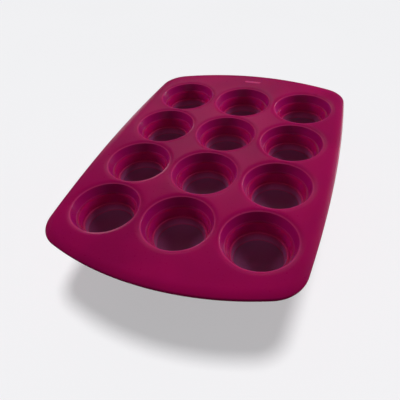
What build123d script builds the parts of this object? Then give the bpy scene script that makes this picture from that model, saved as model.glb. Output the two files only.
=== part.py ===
from build123d import *
import math
import os

# A collapsible silicone muffin tray: twelve stepped cups in three columns and four rows.
#
# The tray is one moulding round one steel wire. It is divided here where it bends, so that every
# zone that moves or gives as a unit is a node of its own:
#
#   tray_deck    the flat deck, its falling border, the bead round its edge, a raised mark
#   edge_wire    the closed steel wire that the bead is moulded round
#   collar_XN    the fixed upper third of a cup: its rounded mouth, its wall and the first ledge
#   fold_XN      the thin middle third, which turns inside out when the cup is pushed up
#   cup_XN       the lower third: the second ledge, the lower wall and the floor
#
# X is the column, a to c from -X to +X, and N is the row, 1 to 4 from +Y to -Y.
# The origin is the middle of the tray, on the surface that it stands on. Millimetres, +Z up.
# Profiles are drawn as (radius, depth), where depth is measured down from the top of the deck.

# The grid of cups
COLUMN_NAMES = "abc"
ROW_COUNT = 4
COLUMN_PITCH = 78.2
ROW_PITCH = 76.0

# The deck's outline, which is the overlap of four large discs with its corners rounded
HALF_WIDTH = 132.0
HALF_LENGTH = 188.7
SIDE_RADIUS = 1585.0
END_RADIUS = 300.0
CORNER_RADIUS = 35.0

# The deck and its border: a band that falls away gently and flows into the bead
DECK_THICKNESS = 2.2
ROLL_WIDTH = 10.0
ROLL_RADIUS = 30.0
ROLL_LAP = 1.0
BEAD_RADIUS = 1.7
WIRE_RADIUS = 0.8

# The raised mark on the deck's far end
MARK_LENGTH = 22.0
MARK_WIDTH = 5.0
MARK_HEIGHT = 0.4
MARK_Y = 167.0

# The collar
COLLAR_RADIUS = 37.8
MOUTH_RADIUS = 35.2
MOUTH_ROUND = 1.8
COLLAR_THICKNESS = 2.1
LEDGE_1_RADIUS = 31.8
LEDGE_1_DEPTH = 10.2
LEDGE_THICKNESS = 1.2

# The fold, which hangs inside the first ledge
FOLD_TOP_RADIUS = 29.2
FOLD_FOOT_RADIUS = 26.9
FOLD_THICKNESS = 1.0

# The cup, which hangs inside the foot of the fold
LEDGE_2_RADIUS = 24.6
LEDGE_2_DEPTH = 20.4
CUP_THICKNESS = 1.8
FLOOR_RADIUS = 23.8
FLOOR_DEPTH = 29.0
FLOOR_THICKNESS = 1.8

# Rounds
CREASE_ROUND = 1.5
COLLAR_FOOT_ROUND = 0.8
LEDGE_ROUND = 0.4
FLOOR_ROUND = 1.2
FOOT_ROUND = 2.2

# Clearances where two nodes meet
SEAM = 0.1
HINGE_GAP = 0.2

DECK_TOP = FLOOR_DEPTH + FLOOR_THICKNESS

# The bead lies inside the curve of the roll and touches it, so the two are smooth on top
BEAD_LEAN = math.asin((ROLL_WIDTH - BEAD_RADIUS) / (ROLL_RADIUS - BEAD_RADIUS))
BEAD_DEPTH = ROLL_RADIUS - (ROLL_RADIUS - BEAD_RADIUS) * math.cos(BEAD_LEAN)


def lathe(corners, rounds):
    """Turns a closed outline of (radius, depth) corners about Z, with rounds at some of them."""
    points = [Vector(radius, DECK_TOP - depth) for radius, depth in corners]
    profile = make_face(Polyline(*points, close=True))
    for number, size in rounds.items():
        corner = profile.vertices().sort_by_distance(points[number])[0]
        profile = fillet(corner, size)
    return revolve(Plane.XZ * profile, Axis.Z)


def deck_outline(inset):
    """The deck's outline as a flat face at the deck's top, drawn in by an inset."""
    side_disc = Circle(SIDE_RADIUS - inset)
    end_disc = Circle(END_RADIUS - inset)
    side_reach = SIDE_RADIUS - HALF_WIDTH
    end_reach = END_RADIUS - HALF_LENGTH
    outline = Pos(side_reach, 0) * side_disc
    outline &= Pos(-side_reach, 0) * Rot(0, 0, 180) * side_disc
    outline &= Pos(0, end_reach) * end_disc
    outline &= Pos(0, -end_reach) * end_disc
    corners = outline.vertices().sort_by_distance((0, 0, 0))[-4:]
    return Pos(0, 0, DECK_TOP) * fillet(corners, CORNER_RADIUS - inset)


def run_round_edge(section):
    """Sweeps a section, drawn as (distance out from the edge, depth), round the deck's outline."""
    path = deck_outline(0).face().outer_wire()
    tangent = path % 0
    outward = Vector(0, 0, -1).cross(tangent)
    start = Plane(origin=path @ 0, x_dir=outward, z_dir=tangent)
    return sweep(start * section, path)


def wire_section(radius):
    """A round section at the middle of the bead."""
    return Pos(-BEAD_RADIUS, BEAD_DEPTH) * Circle(radius)


def border_section():
    """The band that falls away from the deck, and the bead that it ends in."""
    lap = -ROLL_WIDTH - ROLL_LAP
    under_radius = ROLL_RADIUS - DECK_THICKNESS
    bead = Vector(-BEAD_RADIUS, BEAD_DEPTH)
    roll_axis = Vector(-ROLL_WIDTH, ROLL_RADIUS)
    roll_end = roll_axis + Vector(math.sin(BEAD_LEAN), -math.cos(BEAD_LEAN)) * ROLL_RADIUS

    # where the underside of the band meets the bead
    gap = (bead - roll_axis).length
    across = (gap**2 + under_radius**2 - BEAD_RADIUS**2) / (2 * gap * under_radius)
    under_lean = BEAD_LEAN - math.acos(across)
    under_end = roll_axis + Vector(math.sin(under_lean), -math.cos(under_lean)) * under_radius
    bead_side = bead + (bead - (roll_end + under_end) * 0.5).normalized() * BEAD_RADIUS

    top = Line((lap, 0), (-ROLL_WIDTH, 0))
    roll_top = TangentArc((-ROLL_WIDTH, 0), roll_end, tangent=(1, 0))
    bead_round = ThreePointArc(roll_end, bead_side, under_end)
    roll_under = TangentArc((-ROLL_WIDTH, DECK_THICKNESS), under_end, tangent=(1, 0))
    under = Line((-ROLL_WIDTH, DECK_THICKNESS), (lap, DECK_THICKNESS))
    lap_end = Line((lap, DECK_THICKNESS), (lap, 0))
    return make_face([top, roll_top, bead_round, roll_under, under, lap_end])


def deck():
    """The deck with its border, its raised mark and a round hole for each collar."""
    sheet = extrude(deck_outline(ROLL_WIDTH), -DECK_THICKNESS)
    sheet += run_round_edge(border_section())
    sheet -= run_round_edge(wire_section(WIRE_RADIUS + SEAM))
    mark = Pos(0, MARK_Y, DECK_TOP) * SlotOverall(MARK_LENGTH, MARK_WIDTH)
    sheet += extrude(mark, MARK_HEIGHT)
    hole = Pos(0, 0, DECK_TOP) * Circle(COLLAR_RADIUS + SEAM)
    for _, x, y in cup_centres():
        sheet -= extrude(Pos(x, y) * hole, -DECK_THICKNESS)
    return sheet


def edge_wire():
    """The closed loop of wire inside the bead."""
    return run_round_edge(wire_section(WIRE_RADIUS))


def collar():
    """The fixed ring round a cup's mouth, with its sloped wall and the first ledge."""
    ledge_foot = LEDGE_1_DEPTH + LEDGE_THICKNESS
    ledge_edge = FOLD_TOP_RADIUS + FOLD_THICKNESS + SEAM
    slope = (MOUTH_RADIUS - LEDGE_1_RADIUS) / LEDGE_1_DEPTH
    outer_top = MOUTH_RADIUS + COLLAR_THICKNESS - slope * DECK_THICKNESS
    outer_foot = MOUTH_RADIUS + COLLAR_THICKNESS - slope * ledge_foot
    corners = [
        (COLLAR_RADIUS, 0),
        (MOUTH_RADIUS, 0),
        (LEDGE_1_RADIUS, LEDGE_1_DEPTH),
        (ledge_edge, LEDGE_1_DEPTH),
        (ledge_edge, ledge_foot),
        (outer_foot, ledge_foot),
        (outer_top, DECK_THICKNESS),
        (COLLAR_RADIUS, DECK_THICKNESS),
    ]
    return lathe(corners, {1: MOUTH_ROUND, 2: CREASE_ROUND, 5: COLLAR_FOOT_ROUND})


def fold():
    """The thin cone between the two ledges, level with the top of one and the foot of the other."""
    foot = LEDGE_2_DEPTH + LEDGE_THICKNESS
    corners = [
        (FOLD_TOP_RADIUS, LEDGE_1_DEPTH),
        (FOLD_FOOT_RADIUS, foot),
        (FOLD_FOOT_RADIUS + FOLD_THICKNESS, foot),
        (FOLD_TOP_RADIUS + FOLD_THICKNESS, LEDGE_1_DEPTH),
    ]
    return lathe(corners, {0: LEDGE_ROUND, 2: LEDGE_ROUND})


def cup():
    """The second ledge, the lower wall and the floor."""
    ledge_foot = LEDGE_2_DEPTH + LEDGE_THICKNESS
    ledge_edge = FOLD_FOOT_RADIUS - HINGE_GAP
    slope = (LEDGE_2_RADIUS - FLOOR_RADIUS) / (FLOOR_DEPTH - LEDGE_2_DEPTH)
    outer_top = LEDGE_2_RADIUS + CUP_THICKNESS - slope * LEDGE_THICKNESS
    outer_foot = FLOOR_RADIUS + CUP_THICKNESS - slope * FLOOR_THICKNESS
    corners = [
        (0, FLOOR_DEPTH),
        (FLOOR_RADIUS, FLOOR_DEPTH),
        (LEDGE_2_RADIUS, LEDGE_2_DEPTH),
        (ledge_edge, LEDGE_2_DEPTH),
        (ledge_edge, ledge_foot),
        (outer_top, ledge_foot),
        (outer_foot, FLOOR_DEPTH + FLOOR_THICKNESS),
        (0, FLOOR_DEPTH + FLOOR_THICKNESS),
    ]
    return lathe(corners, {1: FLOOR_ROUND, 2: LEDGE_ROUND, 6: FOOT_ROUND})


def cup_centres():
    """Every cup's name and the middle of its circle."""
    centres = []
    for column, letter in enumerate(COLUMN_NAMES):
        x = (column - (len(COLUMN_NAMES) - 1) / 2) * COLUMN_PITCH
        for row in range(ROW_COUNT):
            y = ((ROW_COUNT - 1) / 2 - row) * ROW_PITCH
            centres.append((f"{letter}{row + 1}", x, y))
    return centres


def write(name, solid):
    """Writes one node's STEP file."""
    export_step(solid, f"parts/{name}.step")


os.makedirs("parts", exist_ok=True)
write("tray_deck", deck())
write("edge_wire", edge_wire())
cup_zones = {"collar": collar(), "fold": fold(), "cup": cup()}
for cup_name, cup_x, cup_y in cup_centres():
    for zone, solid in cup_zones.items():
        write(f"{zone}_{cup_name}", Pos(cup_x, cup_y) * solid)
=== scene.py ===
import math

import bmesh
import bpy
from mathutils import Matrix, Vector
from mathutils.geometry import delaunay_2d_cdt, intersect_sphere_sphere_2d


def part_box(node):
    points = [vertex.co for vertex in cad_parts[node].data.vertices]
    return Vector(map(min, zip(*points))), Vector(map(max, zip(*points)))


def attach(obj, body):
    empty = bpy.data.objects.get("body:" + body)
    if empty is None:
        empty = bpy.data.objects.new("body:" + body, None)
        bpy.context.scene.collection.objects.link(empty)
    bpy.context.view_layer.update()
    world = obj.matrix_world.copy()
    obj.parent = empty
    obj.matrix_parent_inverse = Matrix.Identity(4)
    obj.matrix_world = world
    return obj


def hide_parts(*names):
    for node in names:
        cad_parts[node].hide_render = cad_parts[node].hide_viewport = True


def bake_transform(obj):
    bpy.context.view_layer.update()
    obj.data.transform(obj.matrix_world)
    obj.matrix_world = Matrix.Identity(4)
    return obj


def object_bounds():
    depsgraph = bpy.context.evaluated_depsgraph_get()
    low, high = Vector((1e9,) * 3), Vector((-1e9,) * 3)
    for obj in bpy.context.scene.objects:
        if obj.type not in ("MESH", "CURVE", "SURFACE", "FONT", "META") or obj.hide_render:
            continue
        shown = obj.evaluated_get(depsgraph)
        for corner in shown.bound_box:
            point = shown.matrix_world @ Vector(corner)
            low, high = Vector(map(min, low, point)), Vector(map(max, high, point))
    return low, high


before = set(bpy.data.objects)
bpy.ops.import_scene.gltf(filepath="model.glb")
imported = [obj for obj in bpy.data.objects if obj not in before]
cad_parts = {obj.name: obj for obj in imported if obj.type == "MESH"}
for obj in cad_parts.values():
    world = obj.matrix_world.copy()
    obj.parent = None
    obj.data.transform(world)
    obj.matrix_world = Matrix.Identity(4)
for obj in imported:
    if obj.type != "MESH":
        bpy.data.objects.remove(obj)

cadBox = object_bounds()
mm = 0.001

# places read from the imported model
cupNames = sorted(node.removeprefix("cup_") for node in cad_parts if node.startswith("cup_"))


def middleOf(node):
    low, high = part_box(node)
    return (low + high) / 2


cupMiddles = {name: middleOf(f"cup_{name}") for name in cupNames}
anyCup = cupNames[0]
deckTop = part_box(f"collar_{anyCup}")[1].z
holeRadius = (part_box(f"collar_{anyCup}")[1] - middleOf(f"collar_{anyCup}")).x
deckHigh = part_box("tray_deck")[1]


# a band is the part of a noise that is used, from none of a tone to all of it
siliconeLook = {
    "deep": (0.33, 0.0010, 0.080, 1.0),  # the pigment drifts between these two
    "fresh": (0.42, 0.0014, 0.098, 1.0),
    "paintedGlowTone": (0.52, 0.002, 0.085, 1.0),  # painted glow, brighter where light would pass through the thin silicone
    "rim": (0.66, 0.06, 0.22, 1.0),  # painted highlight on tight edges
    "bloom": (0.42, 0.006, 0.110, 1.0),  # fine pale mottle
    "wall": (0.275, 0.0018, 0.102, 1.0),  # painted shade on the steep walls of the cups
    "plum": (0.46, 0.135, 0.34, 1.0),  # painted shade on the floors of the cups
    "rough": (0.27, 0.35),
    "roughBand": (0.3, 0.7),
    "driftScale": 14.0,
    "driftBand": (0.35, 0.65),
    "mottleScale": 420.0,
    "bloomBand": (0.50, 0.80),
    "bloomMost": 0.35,
    "grainScale": 2600.0,
    "grainDepth": 0.00002,
    "grainStrength": 0.5,
    "index": 1.41,  # refraction of silicone
    "sheen": 0.02,
    "sheenRough": 0.45,
    "sheenTint": (0.9, 0.45, 0.62, 1.0),
    "throughColour": (1.0, 0.04, 0.12),
    "thick": {"glow": 0.25, "reach": 1.2},
    "thin": {"glow": 0.5, "reach": 2.0},
}


def addNode(tree, kind, x, y, **settings):
    node = tree.nodes.new(kind)
    node.location = (x, y)
    for key, value in settings.items():
        setattr(node, key, value)
    return node


def newMaterial(name):
    material = bpy.data.materials.new(name)
    material.use_nodes = True
    tree = material.node_tree
    shader = next(n for n in tree.nodes if n.type == "BSDF_PRINCIPLED")
    return material, tree, shader


def noiseNode(tree, coords, x, y, scale, detail=3.0, roughness=0.5):
    texture = addNode(tree, "ShaderNodeTexNoise", x, y)
    texture.inputs["Scale"].default_value = scale
    texture.inputs["Detail"].default_value = detail
    texture.inputs["Roughness"].default_value = roughness
    tree.links.new(coords.outputs["Object"], texture.inputs["Vector"])
    return texture


def remap(tree, source, x, y, band, result):
    ramp = addNode(tree, "ShaderNodeMapRange", x, y)
    ramp.inputs["From Min"].default_value = band[0]
    ramp.inputs["From Max"].default_value = band[1]
    ramp.inputs["To Min"].default_value = result[0]
    ramp.inputs["To Max"].default_value = result[1]
    tree.links.new(source, ramp.inputs["Value"])
    return ramp.outputs["Result"]


def mixColours(tree, x, y, factor, first, second):
    mix = addNode(tree, "ShaderNodeMix", x, y, data_type="RGBA")
    for socket, value in (("A_Color", first), ("B_Color", second)):
        target = next(i for i in mix.inputs if i.identifier == socket)
        if isinstance(value, tuple):
            target.default_value = value
        else:
            tree.links.new(value, target)
    tree.links.new(factor, next(i for i in mix.inputs if i.identifier == "Factor_Float"))
    return next(o for o in mix.outputs if o.identifier == "Result_Color")


def siliconeMaterial(name, glow, reach):
    # glow is how much light passes inside the silicone, and reach how far, in millimetres
    look = siliconeLook
    material, tree, shader = newMaterial(name)
    coords = addNode(tree, "ShaderNodeTexCoord", -1300, 0)

    # slow drift of pigment, then a fine mottle over it
    drift = noiseNode(tree, coords, -1100, 300, look["driftScale"], 2.0)
    driftAmount = remap(tree, drift.outputs["Fac"], -900, 300, look["driftBand"], (0.0, 1.0))
    colour = mixColours(tree, -700, 300, driftAmount, look["deep"], look["fresh"])
    mottle = noiseNode(tree, coords, -1100, 60, look["mottleScale"], 4.0, 0.6)
    bloom = (0.0, look["bloomMost"])
    bloomAmount = remap(tree, mottle.outputs["Fac"], -900, 60, look["bloomBand"], bloom)
    colour = mixColours(tree, -520, 260, bloomAmount, colour, look["bloom"])

    # painted shade darkens the walls and turns the floors plum, painted glow brightens the thin bands, and
    # painted highlights pale the tight edges
    zones = {"wall": look["wall"], "plum": look["plum"], "thin": look["paintedGlowTone"], "rim": look["rim"]}
    for number, (zone, tone) in enumerate(zones.items()):
        amount = addNode(tree, "ShaderNodeAttribute", -900, -160 - 200 * number, attribute_name=zone)
        colour = mixColours(tree, -460 + 100 * number, 240, amount.outputs["Fac"], colour, tone)
    tree.links.new(colour, shader.inputs["Base Color"])

    rough = remap(tree, mottle.outputs["Fac"], -340, -60, look["roughBand"], look["rough"])
    tree.links.new(rough, shader.inputs["Roughness"])

    grain = noiseNode(tree, coords, -560, -420, look["grainScale"], 2.0)
    bump = addNode(tree, "ShaderNodeBump", -340, -420)
    bump.inputs["Strength"].default_value = look["grainStrength"]
    bump.inputs["Distance"].default_value = look["grainDepth"]
    tree.links.new(grain.outputs["Fac"], bump.inputs["Height"])
    tree.links.new(bump.outputs["Normal"], shader.inputs["Normal"])

    shader.inputs["IOR"].default_value = look["index"]
    shader.inputs["Sheen Weight"].default_value = look["sheen"]
    shader.inputs["Sheen Roughness"].default_value = look["sheenRough"]
    shader.inputs["Sheen Tint"].default_value = look["sheenTint"]
    shader.inputs["Subsurface Weight"].default_value = glow
    shader.inputs["Subsurface Radius"].default_value = look["throughColour"]
    shader.inputs["Subsurface Scale"].default_value = reach * mm
    return material


steelLook = {
    "dark": (0.34, 0.34, 0.35, 1.0),
    "light": (0.62, 0.62, 0.63, 1.0),
    "streakScale": 900.0,
    "roughBand": (0.3, 0.7),
    "rough": (0.22, 0.42),
}


def steelMaterial():
    look = steelLook
    material, tree, shader = newMaterial("drawnSteel")
    coords = addNode(tree, "ShaderNodeTexCoord", -900, 0)
    streaks = noiseNode(tree, coords, -700, 0, look["streakScale"], 5.0, 0.7)
    tone = addNode(tree, "ShaderNodeValToRGB", -480, 120)
    tone.color_ramp.elements[0].color = look["dark"]
    tone.color_ramp.elements[1].color = look["light"]
    tree.links.new(streaks.outputs["Fac"], tone.inputs["Fac"])
    tree.links.new(tone.outputs["Color"], shader.inputs["Base Color"])
    rough = remap(tree, streaks.outputs["Fac"], -480, -120, look["roughBand"], look["rough"])
    tree.links.new(rough, shader.inputs["Roughness"])
    shader.inputs["Metallic"].default_value = 1.0
    return material


thickSilicone = siliconeMaterial("thickSilicone", **siliconeLook["thick"])
thinSilicone = siliconeMaterial("thinSilicone", **siliconeLook["thin"])
drawnSteel = steelMaterial()
print("finishes ready")


# outlines are (radius or reach, depth below the deck) in millimetres
outlineRules = {
    "arcStep": 11,  # degrees between the points of a round
    "hold": 0.3,  # distance of the extra point beside a round
    "gap": 2.5,  # longest step along a flat
    "turns": 168,  # points round a cup
    "sharpAngle": 40,
}


def spokeAt(angle):
    return Vector((math.cos(angle), math.sin(angle)))


def cutArc(before, corner, after, radius):
    # points of the round that takes the place of one corner
    toBefore = (before - corner).normalized()
    toAfter = (after - corner).normalized()
    opening = toBefore.angle(toAfter)
    setBack = radius / math.tan(opening / 2)
    centre = corner + (toBefore + toAfter).normalized() * (radius / math.sin(opening / 2))
    first = corner + toBefore * setBack - centre
    last = corner + toAfter * setBack - centre
    turn = first.angle_signed(last)
    steps = max(4, math.ceil(abs(turn) / math.radians(outlineRules["arcStep"])))
    return [centre + Matrix.Rotation(-turn * k / steps, 2) @ first for k in range(steps + 1)]


def roundedOutline(corners, rounds, closed):
    corners = [Vector(c) for c in corners]
    outline = []
    for i, corner in enumerate(corners):
        if i in rounds:
            outline += cutArc(corners[i - 1], corner, corners[(i + 1) % len(corners)], rounds[i])
        else:
            outline.append(corner)
    return holdFlats(outline, closed)


def holdFlats(outline, closed):
    # extra points keep the long flats flat beside the rounds
    hold = outlineRules["hold"]
    filled = []
    last = len(outline) if closed else len(outline) - 1
    for i in range(last):
        here, there = outline[i], outline[(i + 1) % len(outline)]
        length = (there - here).length
        filled.append(here)
        if length > 4 * hold:
            inner = length - 2 * hold
            steps = max(1, math.ceil(inner / outlineRules["gap"]))
            for k in range(steps + 1):
                filled.append(here.lerp(there, (hold + inner * k / steps) / length))
    if not closed:
        filled.append(outline[-1])
    return filled


def finishPiece(name, mesh, material):
    mesh.normal_update()
    bmesh.ops.recalc_face_normals(mesh, faces=mesh.faces)
    for face in mesh.faces:
        face.smooth = True
    for edge in mesh.edges:
        edge.smooth = edge.calc_face_angle(0) < math.radians(outlineRules["sharpAngle"])
    data = bpy.data.meshes.new(name)
    mesh.to_mesh(data)
    mesh.free()
    data.materials.append(material)
    piece = bpy.data.objects.new(name, data)
    bpy.context.scene.collection.objects.link(piece)
    return piece


def turnOutline(outline, middle):
    # turns an outline about a cup's axis; a point on the axis becomes one vertex
    turns = outlineRules["turns"]
    mesh = bmesh.new()
    rings = []
    for radius, depth in outline:
        z = deckTop - depth * mm
        if radius == 0:
            rings.append([mesh.verts.new((middle.x, middle.y, z))])
            continue
        ring = []
        for k in range(turns):
            angle = 2 * math.pi * k / turns
            x = middle.x + radius * mm * math.cos(angle)
            y = middle.y + radius * mm * math.sin(angle)
            ring.append(mesh.verts.new((x, y, z)))
        rings.append(ring)
    onAxis = len(rings[0]) == 1
    for i in range(len(rings) - 1 if onAxis else len(rings)):
        here, there = rings[i], rings[(i + 1) % len(rings)]
        for k in range(turns):
            n = (k + 1) % turns
            if len(here) == 1:
                mesh.faces.new((here[0], there[k], there[n]))
            elif len(there) == 1:
                mesh.faces.new((here[k], there[0], here[n]))
            else:
                mesh.faces.new((here[k], there[k], there[n], here[n]))
    return mesh


def paintVertices(piece, attributeName, amount):
    layer = piece.data.attributes.new(attributeName, "FLOAT", "POINT")
    layer.data.foreach_set("value", [amount(v.co) for v in piece.data.vertices])


def swell(value, middle, width):
    # 1 at the middle, fading to 0 at width to each side
    t = max(0.0, 1.0 - abs(value - middle) / width)
    return t * t * (3 - 2 * t)


# radii, heights and rounds of one cup in millimetres, from its mouth down to its foot
cupShape = {
    "mouthRadius": 35.2,
    "mouthRound": 0.6,
    "mouthFlare": 1.2,
    "dishRadius": 41.0,  # the deck starts to sink here
    "dishFoot": 35.4,
    "dishDrop": 1.1,
    "dishSteps": 6,
    "ledge1Radius": 31.8,
    "ledge1Inner": 31.2,
    "ledge1Rise": 0.4,
    "ledge1Drop": 0.1,
    "ledge1Round": 0.6,
    "collarFootRound": 1.0,
    "deckFootRound": 0.8,
    "foldTopRadius": 29.2,
    "foldTopLap": 0.2,
    "foldFootRadius": 26.9,
    "foldThickness": 1.0,
    "foldLean": 0.5,
    "ledge2Radius": 25.5,
    "ledge2Rise": 0.3,
    "ledgeRound": 0.5,
    "floorRadius": 23.8,
    "floorRound": 1.2,
    "floorThickness": 1.8,
    "cupTopRound": 0.6,
    "footRound": 2.2,
    "deckThickness": 2.2,
    "wall": 2.1,
    "cupWall": 1.8,
}
# how strong each painted tone is, and how wide its line is in millimetres; the edge lines are painted
# highlights, the glows are painted light through thin silicone, and the wall entries are painted shade
cupPaint = {
    "mouthHighlight": {"most": 0.5, "below": 0.1, "width": 0.6, "reach": 1.2},
    "ledge1Highlight": {"most": 0.2, "width": 0.5, "reach": 0.6},
    "ledge1Glow": {"most": 0.25, "width": 1.0},
    "foldGlow": {"base": 0.25, "most": 0.30, "width": 1.2},
    "ledge2Glow": {"most": 0.5, "below": 0.4, "width": 1.6},
    "ledge2Highlight": {"most": 0.55, "width": 0.5},
    "floorHighlight": {"most": 0.85, "inside": 0.3, "width": 0.7, "above": 1.5},
    "collarWall": {"most": 0.85, "flats": 0.6},
    "foldWall": {"most": 0.75, "flats": 0.6},
    "cupWall": {"most": 0.6, "flats": 0.3},
    "steepness": (1.35, 1.5),  # value on a sheer wall, and its fall towards a level face
    "outward": 0.2,  # faces that point out or down more than this are outside the cup
    "downward": -0.5,
}


def depthOf(z):
    return (deckTop - z) / mm


ledge1Top = depthOf(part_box(f"fold_{anyCup}")[1].z)
ledge1Foot = depthOf(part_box(f"collar_{anyCup}")[0].z)
ledge2Top = depthOf(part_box(f"cup_{anyCup}")[1].z)
ledge2Foot = depthOf(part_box(f"fold_{anyCup}")[0].z)
standDepth = depthOf(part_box(f"cup_{anyCup}")[0].z)
floorTop = standDepth - cupShape["floorThickness"]


def dishDepth(radius):
    # how far the deck has sunk, at a distance from a cup's axis
    s = cupShape
    inward = max(0.0, (s["dishRadius"] - radius) / (s["dishRadius"] - s["dishFoot"]))
    return s["dishDrop"] * inward ** 2


def paintWallShade(piece, most, flats):
    # painted shade on the walls, stronger where the surface is steep, below the mouth's edge
    full, fall = cupPaint["steepness"]
    layer = piece.data.attributes.new("wall", "FLOAT", "POINT")
    amounts = []
    for vertex in piece.data.vertices:
        steep = min(1.0, max(flats, full - fall * abs(vertex.normal.z)))
        below = min(1.0, max(0.0, depthOf(vertex.co.z) - cupShape["dishDrop"]))
        amounts.append(most * steep * below)
    layer.data.foreach_set("value", amounts)


def paintFloorShade(piece, middle):
    # painted shade, inside the cup only, deepening from the ledge to the floor
    layer = piece.data.attributes.new("plum", "FLOAT", "POINT")
    amounts = []
    for vertex in piece.data.vertices:
        outward = (vertex.co.xy - middle.xy).normalized()
        facesOut = vertex.normal.xy.dot(outward) > cupPaint["outward"]
        facesDown = vertex.normal.z < cupPaint["downward"]
        depth = (depthOf(vertex.co.z) - ledge2Top) / (floorTop - ledge2Top)
        amounts.append(0.0 if facesOut or facesDown else min(1.0, max(0.0, depth)))
    layer.data.foreach_set("value", amounts)


def distanceFrom(middle, co):
    return (co.xy - middle.xy).length / mm


def makeCollar(name, middle):
    s = cupShape
    deckFoot = s["deckThickness"]
    slope = (s["mouthRadius"] - s["ledge1Radius"]) / ledge1Top
    outerTop = s["mouthRadius"] + s["wall"] - slope * deckFoot
    outerFoot = s["mouthRadius"] + s["wall"] - slope * ledge1Foot
    hole = holeRadius / mm
    mouth = s["mouthRadius"] - slope * s["dishDrop"] * s["mouthFlare"]
    dish = [hole + (mouth - hole) * k / s["dishSteps"] for k in range(s["dishSteps"] + 1)]
    lip = [(radius, dishDepth(radius)) for radius in dish]
    edge = s["foldTopRadius"] + s["foldThickness"] * 0.5
    ledgeStart = ledge1Top - s["ledge1Rise"]
    corners = lip + [
        (s["ledge1Inner"], ledgeStart),
        (edge, ledge1Top + s["ledge1Drop"]),
        (edge, ledge1Foot),
        (outerFoot, ledge1Foot),
        (outerTop, deckFoot),
        (hole, deckFoot),
    ]
    n = s["dishSteps"]
    rounds = {
        n: s["mouthRound"],
        n + 1: s["ledge1Round"],
        n + 4: s["collarFootRound"],
        n + 5: s["deckFootRound"],
    }
    outline = roundedOutline(corners, rounds, True)
    piece = finishPiece(f"mouthRing_{name}", turnOutline(outline, middle), thickSilicone)

    # painted highlights along the mouth's edge and the ledge's edge
    def edgeHighlightAmount(co):
        depth, radius = depthOf(co.z), distanceFrom(middle, co)
        line, ledge = cupPaint["mouthHighlight"], cupPaint["ledge1Highlight"]
        if radius > s["mouthRadius"] + line["reach"]:
            return 0.0
        mouthHighlight = line["most"] * swell(depth, s["dishDrop"] + line["below"], line["width"])
        if radius <= s["ledge1Inner"] - ledge["reach"]:
            return mouthHighlight
        return max(mouthHighlight, ledge["most"] * swell(depth, ledgeStart, ledge["width"]))

    # painted glow, where light would come through the thin silicone at the ledge
    def paintedGlowAmount(co):
        glow = cupPaint["ledge1Glow"]
        return glow["most"] * swell(depthOf(co.z), ledge1Top, glow["width"])

    paintVertices(piece, "rim", edgeHighlightAmount)
    paintVertices(piece, "thin", paintedGlowAmount)
    paintWallShade(piece, **cupPaint["collarWall"])
    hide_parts(f"collar_{name}")
    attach(piece, "tray")
    return piece


def makeFold(name, middle):
    s = cupShape
    top, foot = s["foldTopRadius"], s["foldFootRadius"]
    corners = [
        (top - s["foldTopLap"], ledge1Top + s["foldLean"]),
        (foot, ledge2Foot),
        (foot + s["foldThickness"], ledge2Foot),
        (top + s["foldThickness"], ledge1Top),
    ]
    outline = roundedOutline(corners, {0: s["ledgeRound"], 2: s["ledgeRound"]}, True)
    piece = finishPiece(f"foldBand_{name}", turnOutline(outline, middle), thinSilicone)

    # painted glow along the thin fold band, strongest at its top
    def paintedGlowAmount(co):
        glow = cupPaint["foldGlow"]
        return glow["base"] + glow["most"] * swell(depthOf(co.z), ledge1Top + s["foldLean"], glow["width"])

    paintVertices(piece, "thin", paintedGlowAmount)
    paintWallShade(piece, **cupPaint["foldWall"])
    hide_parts(f"fold_{name}")
    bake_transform(piece)
    return piece


def makeCup(name, middle):
    s = cupShape
    slope = (s["ledge2Radius"] - s["floorRadius"]) / (floorTop - ledge2Top)
    outerTop = s["ledge2Radius"] + s["cupWall"] - slope * (ledge2Foot - ledge2Top)
    outerFoot = s["floorRadius"] + s["cupWall"] - slope * (standDepth - floorTop)
    edge = s["foldFootRadius"] + s["foldThickness"] * 0.5
    corners = [
        (0, floorTop),
        (s["floorRadius"], floorTop),
        (s["ledge2Radius"], ledge2Top + s["ledge2Rise"]),
        (edge, ledge2Top - s["ledge2Rise"]),
        (edge, ledge2Foot),
        (outerTop, ledge2Foot),
        (outerFoot, standDepth),
        (0, standDepth),
    ]
    rounds = {1: s["floorRound"], 2: s["ledgeRound"], 5: s["cupTopRound"], 6: s["footRound"]}
    outline = roundedOutline(corners, rounds, False)
    piece = finishPiece(f"cupFoot_{name}", turnOutline(outline, middle), thickSilicone)

    def cupHighlightAmount(co):
        # painted highlights: a paler line round the floor's edge, and one round the ledge
        depth, line, ledge = depthOf(co.z), cupPaint["floorHighlight"], cupPaint["ledge2Highlight"]
        ledgeHighlight = ledge["most"] * swell(depth, ledge2Top + s["ledge2Rise"], ledge["width"])
        if depth <= floorTop - line["above"]:
            return ledgeHighlight
        radius = distanceFrom(middle, co)
        return max(ledgeHighlight, line["most"] * swell(radius, s["floorRadius"] - line["inside"], line["width"]))

    # painted glow just below the ledge
    def paintedGlowAmount(co):
        glow = cupPaint["ledge2Glow"]
        return glow["most"] * swell(depthOf(co.z), ledge2Top + glow["below"], glow["width"])

    paintVertices(piece, "rim", cupHighlightAmount)
    paintVertices(piece, "thin", paintedGlowAmount)
    paintFloorShade(piece, middle)
    paintWallShade(piece, **cupPaint["cupWall"])
    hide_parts(f"cup_{name}")
    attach(piece, f"cup_{name}")
    return piece


for name, middle in cupMiddles.items():
    makeCollar(name, middle)
    makeFold(name, middle)
    makeCup(name, middle)
print("cups ready:", len(cupMiddles))


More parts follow.
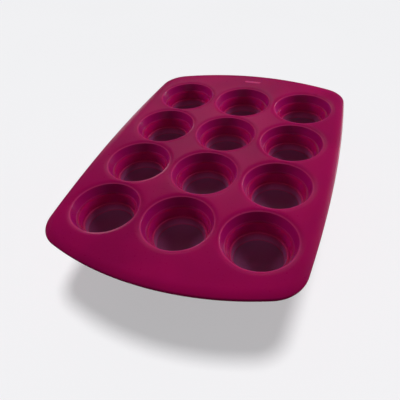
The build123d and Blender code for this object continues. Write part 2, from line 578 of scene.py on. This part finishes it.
# millimetres; the side and end radii are those of the outline's long curves
deckShape = {
    "sideRadius": 1585.0,
    "endRadius": 300.0,
    "cornerRadius": 35.0,
    "rollWidth": 10.0,
    "rollRadius": 30.0,
    "rollSteps": 14,
    "beadRadius": 1.7,
    "beadSteps": 28,
    "flatLap": 0.5,
    "edgeGap": 2.5,
    "gridGap": 5.0,
    "gridClear": 2.75,  # room between the grid and the border
    "dishRings": 4,
    "dishClear": 1.5,
    "joinWithin": 1e-5,  # points nearer than this count as one
    "holeSlack": 0.001,
    "edgeSlack": 0.05,
}


def edgeArcs():
    # the far right quarter of the outline: side, corner, end, each as (centre, radius, start, end)
    s = deckShape
    side = Vector((deckHigh.x / mm - s["sideRadius"], 0))
    end = Vector((0, deckHigh.y / mm - s["endRadius"]))
    crossings = intersect_sphere_sphere_2d(
        side, s["sideRadius"] - s["cornerRadius"], end, s["endRadius"] - s["cornerRadius"]
    )
    corner = max(crossings, key=lambda p: p.x + p.y)
    leaveSide = math.atan2(*(corner - side).yx)
    meetEnd = math.atan2(*(corner - end).yx)
    return [
        (side, s["sideRadius"], 0.0, leaveSide),
        (corner, s["cornerRadius"], leaveSide, meetEnd),
        (end, s["endRadius"], meetEnd, math.pi / 2),
    ]


def quarterEdge():
    # (point, outward direction) along the far right quarter, without its last point
    points = []
    for centre, radius, start, end in edgeArcs():
        steps = math.ceil(radius * (end - start) / deckShape["edgeGap"])
        for k in range(steps):
            angle = start + (end - start) * k / steps
            outward = spokeAt(angle)
            points.append((centre + outward * radius, outward))
    return points


def wholeEdge():
    quarter = quarterEdge()
    topPoint = (Vector((0, deckHigh.y / mm)), Vector((0, 1)))
    half = quarter + [topPoint]
    half += [(Vector((-p.x, p.y)), Vector((-n.x, n.y))) for p, n in reversed(quarter)]
    return half[:-1] + [(-p, -n) for p, n in half[:-1]]


def borderOutline():
    # (outward from the edge, depth): out along the roll, round the bead, back along the underside
    s = deckShape
    reach = s["rollRadius"] - s["beadRadius"]
    underRadius = s["rollRadius"] - cupShape["deckThickness"]
    lean = math.asin((s["rollWidth"] - s["beadRadius"]) / reach)
    across = (reach ** 2 + underRadius ** 2 - s["beadRadius"] ** 2) / (2 * reach * underRadius)
    underLean = lean - math.acos(across)
    rollAxis = Vector((-s["rollWidth"], s["rollRadius"]))

    def alongRoll(radius, angle):
        return rollAxis + Vector((math.sin(angle), -math.cos(angle))) * radius

    bead = alongRoll(reach, lean)
    fromTop = alongRoll(s["rollRadius"], lean) - bead
    toUnder = alongRoll(underRadius, underLean) - bead
    turn = fromTop.angle_signed(toUnder)
    turn = abs(turn) if turn < 0 else 2 * math.pi - turn
    rollSteps, beadSteps = s["rollSteps"], s["beadSteps"]
    top = [alongRoll(s["rollRadius"], lean * k / rollSteps) for k in range(rollSteps)]
    spins = [Matrix.Rotation(turn * k / beadSteps, 2) for k in range(beadSteps + 1)]
    around = [bead + spin @ fromTop for spin in spins]
    under = [alongRoll(underRadius, underLean * k / rollSteps) for k in range(rollSteps)]
    flatLap = Vector((s["flatLap"], 0))
    return [top[0] - flatLap] + top + around + under[::-1] + [under[0] - flatLap]


def flatWeb(edge):
    # the deck's flat: points round its border, its holes, their dishes and on a grid, then triangles
    s = deckShape
    turns = outlineRules["turns"]
    inset = s["rollWidth"] + s["flatLap"]
    points = [p - n * inset for p, n in edge]
    rim = len(points)
    middles = [middle.xy / mm for middle in cupMiddles.values()]
    hole = holeRadius / mm

    def nearest(p):
        return min((p - m).length for m in middles)

    borders = [[(k, (k + 1) % rim) for k in range(rim)]]
    for m in middles:
        first = len(points)
        points += [m + spokeAt(2 * math.pi * k / turns) * hole for k in range(turns)]
        borders.append([(first + k, first + (k + 1) % turns) for k in range(turns)])
    for ring in range(1, s["dishRings"] + 1):
        radius = hole + (cupShape["dishRadius"] - hole) * ring / s["dishRings"]
        for m in middles:
            for k in range(turns // 2):
                p = m + spokeAt(4 * math.pi * (k + 0.5 * (ring % 2)) / turns) * radius
                if nearest(p) > radius - s["holeSlack"] and insideEdge(p, inset + s["dishClear"]):
                    points.append(p)
    columns = int(deckHigh.x / mm / s["gridGap"])
    rows = int(deckHigh.y / mm / s["gridGap"])
    for column in range(-columns, columns + 1):
        for row in range(-rows, rows + 1):
            p = Vector((column * s["gridGap"], row * s["gridGap"]))
            clearOfDish = nearest(p) > cupShape["dishRadius"] + s["dishClear"]
            if clearOfDish and insideEdge(p, inset + s["gridClear"]):
                points.append(p)
    constraints = [pair for border in borders for pair in border]
    joined = delaunay_2d_cdt(points, constraints, [], 0, s["joinWithin"])
    flat, faces = joined[0], joined[2]
    kept = []
    for face in faces:
        centre = sum((flat[i] for i in face), Vector((0, 0))) / len(face)
        if nearest(centre) > hole - s["holeSlack"] and insideEdge(centre, inset - s["edgeSlack"]):
            kept.append(tuple(face))
    sunk = [dishDepth(nearest(p)) for p in flat]
    return flat, sunk, kept


def insideEdge(p, inset):
    # the outline is the same in all four quarters
    p = Vector((abs(p.x), abs(p.y)))
    (side, sideRadius, _, _), (corner, cornerRadius, start, finish), (end, endRadius, _, _) = edgeArcs()
    if (p - side).length > sideRadius - inset or (p - end).length > endRadius - inset:
        return False
    fromCorner = p - corner
    angle = math.atan2(fromCorner.y, fromCorner.x)
    return not (start < angle < finish and fromCorner.length > cornerRadius - inset)


def makeDeck():
    edge = wholeEdge()
    section = borderOutline()
    mesh = bmesh.new()
    flat, sunk, faces = flatWeb(edge)
    top = [mesh.verts.new((p.x * mm, p.y * mm, deckTop - d * mm)) for p, d in zip(flat, sunk)]
    underside = deckTop - cupShape["deckThickness"] * mm
    bottom = [mesh.verts.new((p.x * mm, p.y * mm, underside)) for p in flat]
    for face in faces:
        mesh.faces.new([top[i] for i in face])
        mesh.faces.new([bottom[i] for i in reversed(face)])
    rim = len(edge)
    turns = outlineRules["turns"]
    for hole in range(len(cupMiddles)):
        first = rim + hole * turns
        for k in range(turns):
            a, b = first + k, first + (k + 1) % turns
            mesh.faces.new((top[a], top[b], bottom[b], bottom[a]))
    loops = [top[:rim]]
    for reach, depth in section[1:-1]:
        loops.append([
            mesh.verts.new(((p + n * reach) * mm).to_3d() + Vector((0, 0, deckTop - depth * mm)))
            for p, n in edge
        ])
    loops.append(bottom[:rim])
    for here, there in zip(loops, loops[1:]):
        for k in range(rim):
            n = (k + 1) % rim
            mesh.faces.new((here[k], here[n], there[n], there[k]))
    piece = finishPiece("deckSheet", mesh, thickSilicone)
    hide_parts("tray_deck")
    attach(piece, "tray")
    return piece


markShape = {
    "inset": 21.7,
    "length": 22.0,
    "width": 5.0,
    "root": 0.3,  # how far it sinks into the deck
    "rim": 0.9,
    "round": 0.12,
    "recess": 0.28,
    "steps": 24,
    "paintedHighlight": 1.0,
}


def makeMark():
    # a plain raised pill, hollowed, on the far border
    s = markShape
    height = (deckHigh.z - deckTop) / mm
    middle = Vector((0, deckHigh.y / mm - s["inset"]))
    straight = (s["length"] - s["width"]) / 2
    mesh = bmesh.new()

    def pill(inset, rise):
        loop = []
        for side in (1, -1):
            for k in range(s["steps"] + 1):
                spoke = spokeAt(math.pi * (k / s["steps"] - 0.5)) * (s["width"] / 2 - inset)
                point = middle + (spoke + Vector((straight, 0))) * side
                loop.append(mesh.verts.new((point * mm).to_3d() + Vector((0, 0, deckTop + rise * mm))))
        return loop

    steps = [
        (0, -s["root"]),
        (0, height - s["round"]),
        (s["round"], height),
        (s["rim"] - s["round"], height),
        (s["rim"], height - s["round"]),
        (s["rim"], height - s["recess"]),
    ]
    loops = [pill(inset, rise) for inset, rise in steps]
    for here, there in zip(loops, loops[1:]):
        for k in range(len(here)):
            n = (k + 1) % len(here)
            mesh.faces.new((here[k], here[n], there[n], there[k]))
    mesh.faces.new(loops[-1])
    mesh.faces.new(loops[0][::-1])
    piece = finishPiece("markPill", mesh, thickSilicone)
    # the pill is painted with the highlight tone all over
    paintVertices(piece, "rim", lambda co: s["paintedHighlight"])
    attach(piece, "tray")
    return piece


makeDeck()
makeMark()
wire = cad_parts["edge_wire"]
wire.data.materials.clear()
wire.data.materials.append(drawnSteel)
print("deck ready")


# metres, radians and the lens in millimetres; the camera's turn is its tilt, roll and swing
studio = {
    "floorDrop": 0.070,
    "floorSize": 12.0,
    "floorTone": (0.83, 0.83, 0.845, 1.0),
    "floorPaler": 1.02,
    "floorCloud": 3.0,
    "floorRough": 0.9,
    "floorShine": 0.1,
    "cameraPlace": (0.1274, -0.3429, 0.2965),
    "cameraTurn": (0.823, -0.104, 0.419),
    "lens": 35.77,
    "sensor": 36.0,
}


def makeFloor():
    mesh = bmesh.new()
    bmesh.ops.create_grid(mesh, x_segments=8, y_segments=8, size=studio["floorSize"] / 2)
    data = bpy.data.meshes.new("studioFloor")
    mesh.to_mesh(data)
    mesh.free()
    floor = bpy.data.objects.new("studioFloor", data)
    floor.location.z = cadBox[0].z - studio["floorDrop"]
    bpy.context.scene.collection.objects.link(floor)
    material, tree, shader = newMaterial("paleFloor")
    coords = addNode(tree, "ShaderNodeTexCoord", -700, 0)
    cloud = noiseNode(tree, coords, -500, 0, studio["floorCloud"], 2.0)
    paler = tuple(min(1.0, c * studio["floorPaler"]) for c in studio["floorTone"][:3]) + (1.0,)
    colour = mixColours(tree, -250, 0, cloud.outputs["Fac"], studio["floorTone"], paler)
    tree.links.new(colour, shader.inputs["Base Color"])
    shader.inputs["Roughness"].default_value = studio["floorRough"]
    shader.inputs["Specular IOR Level"].default_value = studio["floorShine"]
    data.materials.append(material)
    floor.visible_diffuse = False
    floor.visible_glossy = False
    return floor


# azimuth is measured from the far end towards +X, sizes are in metres and powers in watts
lights = {
    "window": {
        "azimuth": -20, "elevation": 36, "distance": 1.5,
        "width": 0.64, "height": 0.46, "power": 0.50, "reflects": True,
    },
    "strip": {
        "azimuth": 34, "elevation": 14, "distance": 1.5,
        "width": 0.40, "height": 0.70, "power": 5.5, "reflects": True,
    },
    "leftStrip": {
        "azimuth": -44, "elevation": 9, "distance": 1.5,
        "width": 0.30, "height": 0.36, "power": 0.6, "reflects": True,
    },
    "front": {
        "azimuth": 165, "elevation": 26, "distance": 1.4,
        "width": 0.90, "height": 0.50, "power": 1.7, "reflects": False,
    },
    "rightKey": {
        "azimuth": 54, "elevation": 26, "distance": 1.1,
        "width": 0.60, "height": 0.30, "power": 8.5, "reflects": False,
    },
    "leftKey": {
        "azimuth": -86, "elevation": 26, "distance": 1.2,
        "width": 0.60, "height": 0.30, "power": 8.0, "reflects": False,
    },
    "lowLeft": {
        "azimuth": -92, "elevation": -1, "distance": 0.8,
        "width": 0.60, "height": 0.06, "power": 9.0, "reflects": False,
    },
    "lowRight": {
        "azimuth": 92, "elevation": -1, "distance": 0.8,
        "width": 0.60, "height": 0.06, "power": 5.0, "reflects": False,
    },
}
floorLights = {
    "shadowSun": {"from": (0.10, 0.05, 1.0), "angle": 14, "energy": 1.62, "shadow": True},
    "fillSun": {"from": (0, 0, 1.0), "angle": 0, "energy": 1.60, "shadow": False},
}


def addLight(name, data, place, receivers, reflects):
    light = bpy.data.objects.new(name, data)
    light.visible_glossy = reflects
    light.location = place
    light.rotation_euler = (-place).to_track_quat("-Z", "Y").to_euler()
    bpy.context.scene.collection.objects.link(light)
    light.light_linking.receiver_collection = receivers


def gatherAs(name, members):
    group = bpy.data.collections.new(name)
    for member in members:
        group.objects.link(member)
    return group


def addLights(floor):
    onFloor = gatherAs("floorOnly", [floor])
    pieces = [o for o in bpy.context.scene.objects if o.type == "MESH" and o != floor]
    cupParts = ("foldBand", "cupFoot", "mouthRing")
    onTray = gatherAs("trayOnly", pieces)
    onCups = gatherAs("cupsOnly", [o for o in pieces if o.name.startswith(cupParts)])
    for name, s in lights.items():
        data = bpy.data.lights.new(name, "AREA")
        data.shape = "RECTANGLE"
        data.size = s["width"]
        data.size_y = s["height"]
        data.energy = s["power"]
        azimuth = math.radians(s["azimuth"])
        elevation = math.radians(s["elevation"])
        outward = Vector((math.sin(azimuth), math.cos(azimuth))) * math.cos(elevation)
        outward = outward.to_3d() + Vector((0, 0, math.sin(elevation)))
        receivers = onCups if s["elevation"] < 0 else onTray
        addLight(name, data, outward * s["distance"], receivers, s["reflects"])
    for name, s in floorLights.items():
        data = bpy.data.lights.new(name, "SUN")
        data.energy = s["energy"]
        data.angle = math.radians(s["angle"])
        data.use_shadow = s["shadow"]
        addLight(name, data, Vector(s["from"]), onFloor, False)


air = {
    "seen": (0.88, 0.88, 0.90, 1.0),
    "lit": (0.80, 0.80, 0.83, 1.0),
    "fill": 0.05,
    "gloss": 0.02,
}


def makeWorld():
    # pale to the eye, dim in reflections, and a weak fill on everything else
    world = bpy.data.worlds.new("studioAir")
    bpy.context.scene.world = world
    world.use_nodes = True
    tree = world.node_tree
    fill = next(n for n in tree.nodes if n.type == "BACKGROUND")
    output = next(n for n in tree.nodes if n.type == "OUTPUT_WORLD")
    fill.inputs["Color"].default_value = air["lit"]
    fill.inputs["Strength"].default_value = air["fill"]
    gloss = addNode(tree, "ShaderNodeBackground", -100, -200)
    gloss.inputs["Color"].default_value = air["lit"]
    gloss.inputs["Strength"].default_value = air["gloss"]
    seen = addNode(tree, "ShaderNodeBackground", -100, -400)
    seen.inputs["Color"].default_value = air["seen"]
    path = addNode(tree, "ShaderNodeLightPath", -300, 300)
    shader = fill
    for ray, other in (("Is Glossy Ray", gloss), ("Is Camera Ray", seen)):
        mix = addNode(tree, "ShaderNodeMixShader", 150, 0)
        tree.links.new(path.outputs[ray], mix.inputs["Fac"])
        tree.links.new(shader.outputs[0], mix.inputs[1])
        tree.links.new(other.outputs[0], mix.inputs[2])
        shader = mix
    tree.links.new(shader.outputs[0], output.inputs["Surface"])


def makeCamera():
    data = bpy.data.cameras.new("camera")
    data.lens = studio["lens"]
    data.sensor_width = studio["sensor"]
    camera = bpy.data.objects.new("camera", data)
    tilt, roll, swing = studio["cameraTurn"]
    turn = Matrix.Rotation(swing, 4, "Z") @ Matrix.Rotation(tilt, 4, "X")
    turn = turn @ Matrix.Rotation(roll, 4, "Z")
    camera.matrix_world = Matrix.Translation(studio["cameraPlace"]) @ turn
    bpy.context.scene.collection.objects.link(camera)
    bpy.context.scene.camera = camera


floor = makeFloor()
makeWorld()
makeCamera()
addLights(floor)
bpy.context.scene.view_settings.view_transform = "Standard"
print("studio ready")
